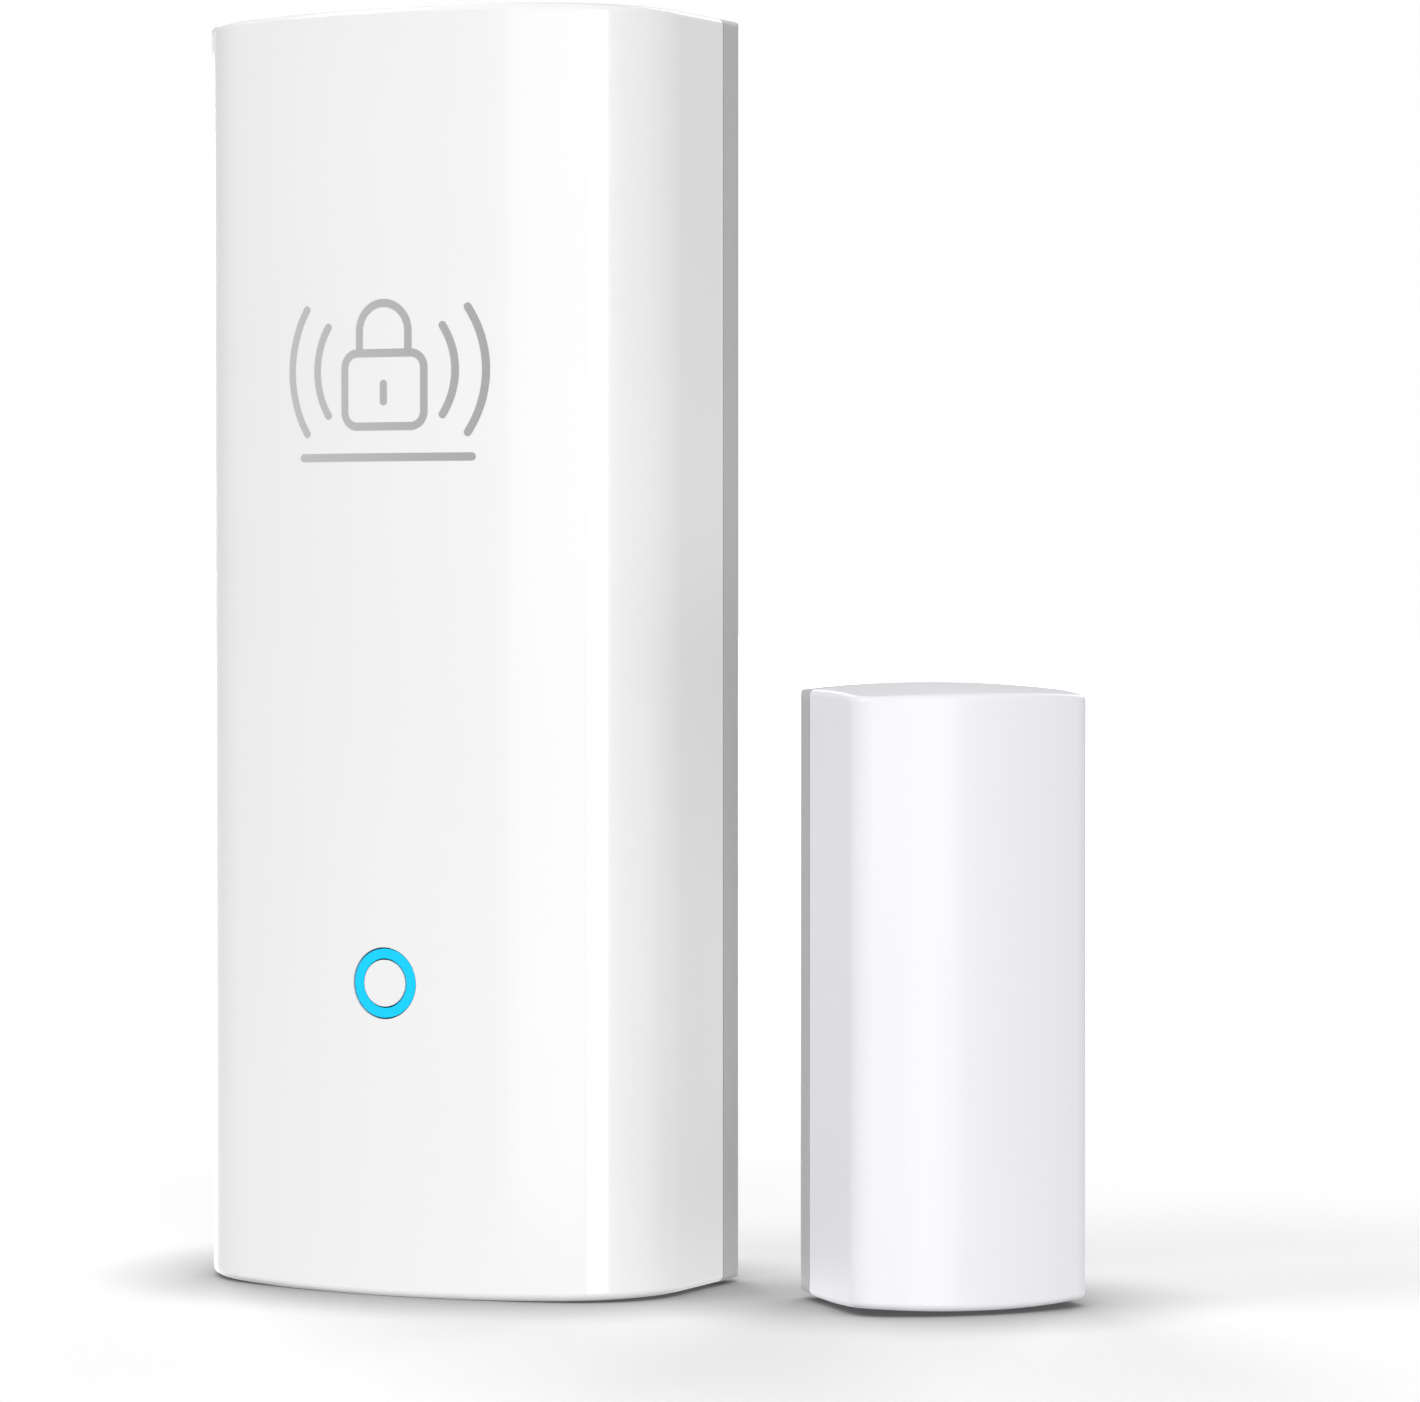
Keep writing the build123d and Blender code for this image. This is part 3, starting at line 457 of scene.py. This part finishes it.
def taper_ends(points, left, right, width):
    """Rounds both ends with a half circle of points."""
    new_left, new_right = [], []
    for index in (0, -1):
        end = Vector(points[index])
        inner = Vector(points[1] if index == 0 else points[-2])
        out = (end - inner).normalized()
        side = left[index] - end
        caps = []
        for degree in (80, 60, 40, 20):
            angle = math.radians(degree)
            shift = out * (width / 2) * math.sin(angle)
            spread = side * math.cos(angle)
            caps.append((end + shift + spread, end + shift - spread))
        if index == 0:
            new_left += [c[0] for c in caps] + left
            new_right += [c[1] for c in caps] + right
        else:
            new_left += [c[0] for c in caps[::-1]]
            new_right += [c[1] for c in caps[::-1]]
    return new_left, new_right


CROWN_RADIUS = 41.0
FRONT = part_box("front_housing")[0].y * 1000
INK_SUNK = 0.01


def crown(x, z):
    """The Y just inside the sensor unit's crowned front at an X, in millimetres."""
    return FRONT + CROWN_RADIUS - math.sqrt(CROWN_RADIUS**2 - x * x) + INK_SUNK


def flat(level):
    """A height for add_stroke that is the same everywhere, in millimetres."""
    return lambda x, z: level


def rounded_rectangle(centre, size, radius):
    """Points round a rectangle, close enough to follow a curved surface."""
    half_x, half_z = size[0] / 2 - radius, size[1] / 2 - radius
    points = []
    for sign_x, sign_z, first in ((1, 1, 0), (-1, 1, 90), (-1, -1, 180), (1, -1, 270)):
        corner = (centre[0] + sign_x * half_x, centre[1] + sign_z * half_z)
        turn = arc(corner, radius, first, first + 90, 10)
        if points:
            points += straight(points[-1], turn[0])[1:-1]
        points += turn
    return points + straight(points[-1], points[0])[1:-1]


def straight(first, last, count=12):
    """Evenly spaced points from first to last."""
    run, rise = last[0] - first[0], last[1] - first[1]
    return [(first[0] + run * i / count, first[1] + rise * i / count) for i in range(count + 1)]


INK_WIDTH = 0.56
INK_THICKNESS = 0.025
LOCK_MIDDLE = (0, 17.9)
LOCK_SIZE = (6.2, 5.0)
SHACKLE_RADIUS = 1.9
SHACKLE_SPAN = (20.6, 21.9)
SIGNAL_MIDDLE = (0, 19.2)
SIGNAL_RADII = (5.4, 7.6)
SIGNAL_HALF_ANGLE = 34
RULE_HALF = 6.6
RULE_HEIGHT = 13.3


def make_mark():
    """A plain padlock between two pairs of signal arcs, over a rule: a generic security sign."""
    work = bmesh.new()
    low, high = SHACKLE_SPAN
    shackle = straight((-SHACKLE_RADIUS, low), (-SHACKLE_RADIUS, high), 4)
    shackle += arc((0, high), SHACKLE_RADIUS, 180, 0)
    shackle += straight((SHACKLE_RADIUS, high), (SHACKLE_RADIUS, low), 4)
    keyhole = straight((0, 18.3), (0, 17.1), 3)
    rule = straight((-RULE_HALF, RULE_HEIGHT), (RULE_HALF, RULE_HEIGHT), 30)
    lines = [shackle, keyhole, rule]
    for radius in SIGNAL_RADII:
        for side in (0, 180):
            first, last = side - SIGNAL_HALF_ANGLE, side + SIGNAL_HALF_ANGLE
            lines.append(arc(SIGNAL_MIDDLE, radius, first, last))
    for line in lines:
        add_stroke(work, line, INK_WIDTH, crown, INK_THICKNESS)
    lock = rounded_rectangle(LOCK_MIDDLE, LOCK_SIZE, 1.0)
    add_stroke(work, lock, INK_WIDTH, crown, INK_THICKNESS, closed=True)
    return add_piece("front_mark", work, printed_mark(), "sensor_unit")


make_mark()


def close_rings(work, rings):
    """Joins rings of points into a closed skin, with a face over each end."""
    for ring, following in zip(rings, rings[1:]):
        for i, vertex in enumerate(ring):
            j = (i + 1) % len(ring)
            work.faces.new((vertex, ring[j], following[j], following[i]))
    work.faces.new(rings[0])
    work.faces.new(rings[-1][::-1])


# ---------------------------------------------------------------- foam pieces
def outline(halves, corner, inset, count=96):
    """Evenly shared points round a rounded rectangle, moved inwards by an inset."""
    half_x, half_z = max(halves[0] - inset, 0.05), max(halves[1] - inset, 0.05)
    radius = max(min(corner - inset, half_x, half_z), 0.02)
    corners = [(1, 1, 0), (-1, 1, 90), (-1, -1, 180), (1, -1, 270)]
    points, each = [], count // 4
    straight_part = each // 2
    for index, (sign_x, sign_z, first) in enumerate(corners):
        centre = Vector((sign_x * (half_x - radius), sign_z * (half_z - radius)))
        step = 90 / (each - straight_part)
        turn = [Vector(p) for p in arc(centre, radius, first, first + 90, step)]
        next_x, next_z, next_first = corners[(index + 1) % 4]
        angle = math.radians(next_first)
        target = Vector((next_x * (half_x - radius), next_z * (half_z - radius)))
        target += Vector((math.cos(angle), math.sin(angle))) * radius
        run = [turn[-1].lerp(target, i / straight_part) for i in range(1, straight_part)]
        points += turn + run
    return points


FACE_SHARES = (0.92, 0.8, 0.65, 0.5, 0.36, 0.24, 0.14, 0.06, 0.0)
WALL_SHARES = (1.0, 0.75, 0.5, 0.25, 0.0)
EDGE_DEGREES = (20, 40, 60, 80)


def slab_profile(reach, half, edge, bulge):
    """Steps over a slab, face to face: inset from its outline, and height from 1 to -1."""
    profile = [(0.999 * reach, 1.0)]
    shoulder = edge + bulge
    profile += [(shoulder + (reach - shoulder) * share, 1.0) for share in FACE_SHARES]
    for degree in EDGE_DEGREES:
        angle = math.radians(degree)
        inset = bulge + edge * (1 - math.sin(angle))
        profile.append((inset, 1 - (1 - math.cos(angle)) * edge / half))
    wall = 1 - edge / half
    profile += [(bulge * share**2, wall * share) for share in WALL_SHARES]
    return profile + [(inset, -height) for inset, height in profile[-2::-1]]


def foam_slab(name, node, turn, halves, corner, half, edge, bulge, dent, material, body, slot):
    """A cut foam slab: soft dents in flat faces, small round edges, and sides that bulge a little.

    It is built in millimetres round the middle of its node's box, and stays inside its CAD
    solid: the sides reach the solid's own outline only at mid height.
    """
    wall = 1 - edge / half
    work = bmesh.new()
    rings = []
    for inset, height in slab_profile(min(halves), half, edge, bulge):
        ring = []
        for point in outline(halves, corner, inset):
            pore = noise.noise(Vector((point.x * 2.3, height * 1.7, point.y * 2.3)))
            fine = noise.noise(Vector((point.x * 7.0, height * 5.0, point.y * 7.0)))
            sink = dent * (0.7 * abs(pore) + 0.3 * abs(fine))
            on_face = abs(height) > wall
            lift = height * half - (math.copysign(sink, height) if on_face else 0)
            pull = 1 - (0 if on_face else sink / max(halves))
            ring.append(work.verts.new((point.x * pull, lift, point.y * pull)))
        rings.append(ring)
    close_rings(work, rings)
    work.transform(node_frame(node, turn) @ Matrix.Scale(0.001, 4))
    piece = add_piece(name, work, material, body, math.radians(70))
    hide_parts(node)
    return piece


def node_frame(name, turn):
    """A frame at the middle of a node's box, turned about the vertical."""
    low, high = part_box(name)
    return Matrix.Translation((low + high) / 2) @ Matrix.Rotation(math.radians(turn), 4, "Z")


MAGNET_TURN = 46.5
PAD_FORM = (0.4, 0.10, 0.08, 0.03)
CUSHION_FORM = (2.2, 0.35, 0.18, 0.06)


def make_foam():
    """The two stuck pads and the cushion behind the magnet; a form is half, edge, bulge, dent."""
    foam_slab(
        "frame_tape", "adhesive_pad", 0.0, (12.5, 26.0), 2.0, *PAD_FORM,
        TAPE, "frame_plate", "foam_tape",
    )
    foam_slab(
        "door_tape", "magnet_adhesive_pad", MAGNET_TURN, (6.0, 10.0), 1.5, *PAD_FORM,
        TAPE, "door_plate", "foam_tape",
    )
    foam_slab(
        "magnet_cushion", "magnet_foam", MAGNET_TURN, (2.5, 6.0), 0.3, *CUSHION_FORM,
        BLOCK, "magnet_unit", "foam_block",
    )


make_foam()

# ---------------------------------------------------------------- board detail
BOARD_LOW, BOARD_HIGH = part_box("circuit_board")
FACES = {"front": (BOARD_LOW.y * 1000, -1), "back": (BOARD_HIGH.y * 1000, 1)}
MOUND_PROFILE = ((0, -0.05), (0, 0.05), (0.14, 0.45), (0.36, 0.8), (0.62, 0.97), (0.88, 1.0))


def add_mound(work, face, centre, halves, height):
    """A low mound with a rounded foot on one face of the board, in millimetres."""
    level, outward = FACES[face]
    rings = []
    for inset, rise in MOUND_PROFILE:
        points = outline(halves, min(halves) * 0.8, inset * min(halves), 24)
        y = (level + outward * height * rise) / 1000
        places = [((centre[0] + p.x) / 1000, y, (centre[1] + p.y) / 1000) for p in points]
        rings.append([work.verts.new(place) for place in places])
    close_rings(work, rings)


MEMORY_PITCH = 1.27
CHIP_PITCH = 0.8


def solder_places():
    """Where each solder joint lies: face, middle, half sizes and height."""
    places = [("back", (11.6, z), (0.75, 0.75), 0.5) for z in (-28.3, -10.7)]
    places += [("back", (-11.25, z), (1.5, 0.5), 0.35) for z in (-23.2, -5.8)]
    places += [("back", (x, z), (0.35, 0.9), 0.3) for x in (-9.0, 4.0) for z in (-35.5, -30.0)]
    places += [("back", (x, z), (0.9, 0.35), 0.3) for x in (-5.5, 0.5) for z in (-38.5, -27.0)]
    for i in range(4):
        z = -9.5 + MEMORY_PITCH * (i - 1.5)
        places += [("back", (x, z), (0.35, 0.2), 0.25) for x in (-6.1, -1.9)]
    places += [("back", (3.0, z), (1.3, 0.35), 0.4) for z in (-20.1, -15.9)]
    places += [("back", (0.0, -0.8), (2.2, 0.5), 0.35), ("back", (-13.4, -5.5), (0.3, 1.1), 0.4)]
    test_pads = [(x, z) for x in (7.0, 9.2) for z in (-35.0, -32.5, -30.0)]
    places += [("back", pad, (0.55, 0.55), 0.04) for pad in test_pads]
    places += [("front", (x, -22.6), (0.2, 0.35), 0.3) for x in (-5.6, -3.8, 3.8, 5.6)]
    places += [("front", (x, z), (0.5, 0.35), 0.4) for x in (-2.2, 2.2) for z in (-25.9, -19.3)]
    for i in range(8):
        step = (i - 3.5) * CHIP_PITCH
        places += [("front", (-6.0 + step, z), (0.15, 0.2), 0.14) for z in (-13.6, -6.4)]
        places += [("front", (x, -10.0 + step), (0.2, 0.15), 0.14) for x in (-9.6, -2.4)]
    places += [("front", (x, -9.75), (0.25, 0.8), 0.2) for x in (1.95, 5.25)]
    for i in range(6):
        places += [("front", (-6.5 + 2.2 * i, z), (0.45, 0.22), 0.3) for z in (-33.05, -31.35)]
    return places


def make_solder():
    """Every solder joint and test pad, as one piece on the board."""
    work = bmesh.new()
    for place in solder_places():
        add_mound(work, *place)
    solder = metal("solder", (0.72, 0.72, 0.71), 0.24, grain=1.5e-6)
    return add_piece("solder_joints", work, solder, "sensor_unit")


LEGEND_INK = 0.02


def make_legend():
    """Plain printed outlines round the parts on the board, with a dot at the chip's first pin."""
    work = bmesh.new()
    frames = [
        ("front", (-6.0, -10.0), (8.6, 8.6)),
        ("front", (0.0, -22.6), (7.0, 7.8)),
        ("back", (-4.0, -9.5), (5.8, 5.8)),
        ("back", (3.0, -18.0), (4.9, 5.6)),
        ("back", (11.6, -19.5), (3.2, 20.4)),
        ("back", (8.1, -32.5), (4.2, 7.2)),
    ]
    for face, centre, size in frames:
        level, outward = FACES[face]
        points = rounded_rectangle(centre, size, 0.3)
        add_stroke(work, points, 0.15, flat(level), -LEGEND_INK * outward, closed=True)
    for face, centre in (("front", (-11.0, -14.2)), ("back", (-7.4, -6.9))):
        level, outward = FACES[face]
        dot = arc(centre, 0.2, 0, 345, 15)
        add_stroke(work, dot, 0.2, flat(level), -LEGEND_INK * outward, closed=True)
    ink = moulded("legend_ink", (0.80, 0.80, 0.78), 0.6, variation=0.08)
    return add_piece("board_legend", work, ink, "sensor_unit")


PLUS_HEIGHT = 36.0
MINUS_HEIGHT = 9.0
SIGN_HALF = 1.2
SIGN_WIDTH = 0.45


def make_polarity():
    """Raised plus and minus signs on the cradle's rails, beside the cell's poles, in a lighter
    copy of the cradle's plastic: a painted highlight.
    """
    work = bmesh.new()
    rail = flat(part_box("battery_cradle")[1].y * 1000 - 0.02)
    for x in (-11.0, 11.0):
        for z in (PLUS_HEIGHT, MINUS_HEIGHT):
            bar = straight((x - SIGN_HALF, z), (x + SIGN_HALF, z), 6)
            add_stroke(work, bar, SIGN_WIDTH, rail, -0.2)
        upright = straight((x, PLUS_HEIGHT - SIGN_HALF), (x, PLUS_HEIGHT + SIGN_HALF), 6)
        add_stroke(work, upright, SIGN_WIDTH, rail, -0.19)
    return add_piece("polarity_signs", work, SIGN_HIGHLIGHT, "sensor_unit")


make_solder()
make_legend()
make_polarity()

# ---------------------------------------------------------------- floor, lights, world
FLOOR_Z = CAD_BOX[0][2]
FLOOR_GAP = 0.00002
CONTACT_SHADE_REACH = 0.012
LIGHT_ABOVE = 0.48
LIGHT_BELOW = 1.45
LIGHT_DOWN = 0.05


def make_floor():
    """A pale floor with painted contact shade: its colour and its glow are darkened where the
    object closes over it.

    It glows more with distance: painted light that runs it into the background and leaves a broad
    painted shadow round the object. Only the camera sees it.
    """
    mesh = bpy.data.meshes.new("floor")
    work = bmesh.new()
    bmesh.ops.create_grid(work, x_segments=4, y_segments=4, size=4.0)
    work.to_mesh(mesh)
    work.free()
    floor = bpy.data.objects.new("floor", mesh)
    bpy.context.scene.collection.objects.link(floor)
    floor.location = (0, 0, FLOOR_Z - FLOOR_GAP)
    shader = Shader("floor", Roughness=0.6, Emission_Strength=1.0)
    # Ambient occlusion darkens the floor's colour and glow near the object: painted contact shade.
    occlusion = shader.node("AmbientOcclusion", {"Distance": CONTACT_SHADE_REACH}, samples=8)
    paper = shader.mix(shader.noise(3.0), grey(0.90), grey(0.92))
    free = shader.math("POWER", occlusion.outputs["AO"], 1.6)
    shader.set("Base Color", shader.mix(free, grey(0.12), paper))
    # The glow rises from 0.08 near the origin to 0.9 far off: painted light far away, painted
    # broad shadow near the object.
    away = shader.node("VectorMath", {0: shader.place()}, operation="LENGTH").outputs["Value"]
    glow = shader.both(free, shader.span(away, 0.06, 0.8, 0.08, 0.9))
    shader.set("Emission Color", shader.mix(glow, grey(0.0), grey(1.0)))
    mesh.materials.append(shader.material)
    floor.visible_glossy = False
    floor.visible_shadow = False
    floor.visible_diffuse = False


def make_world():
    """Even light before a background that the camera sees as white.

    Level directions below the horizon are the brightest, as over a pale floor, and straight
    down is dim.
    """
    world = bpy.data.worlds.new("studio")
    bpy.context.scene.world = world
    world.use_nodes = True
    tree = world.node_tree
    background = tree.nodes["Background"]
    background.inputs["Color"].default_value = grey(1.0)
    direction = tree.nodes.new("ShaderNodeTexCoord").outputs["Generated"]
    split = tree.nodes.new("ShaderNodeSeparateXYZ")
    tree.links.new(direction, split.inputs["Vector"])
    parts = []
    ramps = ((-0.3, 0.0, LIGHT_BELOW, LIGHT_ABOVE), (-0.7, -0.3, LIGHT_DOWN, 1.0))
    for values in ramps:
        part = tree.nodes.new("ShaderNodeMapRange")
        for socket, value in zip(("From Min", "From Max", "To Min", "To Max"), values):
            part.inputs[socket].default_value = value
        tree.links.new(split.outputs["Z"], part.inputs["Value"])
        parts.append(part.outputs["Result"])
    seen = tree.nodes.new("ShaderNodeLightPath").outputs["Is Camera Ray"]
    lighting = tree.nodes.new("ShaderNodeMath")
    lighting.operation = "MULTIPLY"
    strength = tree.nodes.new("ShaderNodeMath")
    strength.operation = "MAXIMUM"
    for index, part in enumerate(parts):
        tree.links.new(part, lighting.inputs[index])
    tree.links.new(lighting.outputs["Value"], strength.inputs[0])
    tree.links.new(seen, strength.inputs[1])
    tree.links.new(strength.outputs["Value"], background.inputs["Strength"])


LIGHT_TARGET = Vector((0.015, -0.005, 0.0))


def area_light(name, azimuth, elevation, distance, size, watts):
    """A soft box at an azimuth, from -Y towards +X, and an elevation round the object."""
    light_data = bpy.data.lights.new(name, "AREA")
    light_data.shape = "RECTANGLE"
    light_data.size, light_data.size_y = size
    light_data.energy = watts
    light = bpy.data.objects.new(name, light_data)
    bpy.context.scene.collection.objects.link(light)
    a, e = math.radians(azimuth), math.radians(elevation)
    away = Vector((math.sin(a) * math.cos(e), -math.cos(a) * math.cos(e), math.sin(e)))
    light.location = LIGHT_TARGET + away * distance
    light.rotation_euler = (-away).to_track_quat("-Z", "Y").to_euler()


make_floor()
make_world()
SOFT_BOX = (0.9, 1.4)
area_light("left_back", -130, 35, 2.4, SOFT_BOX, 14)
area_light("left_rim", -132, -4, 2.4, (0.9, 0.85), 9.5)
area_light("left_front", -45, 40, 2.4, SOFT_BOX, 13)
area_light("front_low", 14, 10, 2.4, (1.5, 1.5), 11)
area_light("right_low", 44, 10, 2.0, (0.8, 1.4), 12.5)
area_light("back_high", 180, 32, 2.4, SOFT_BOX, 9.5)
area_light("top", 0, 89, 2.0, (2.4, 2.4), 5)

bpy.context.scene.view_settings.view_transform = "Standard"
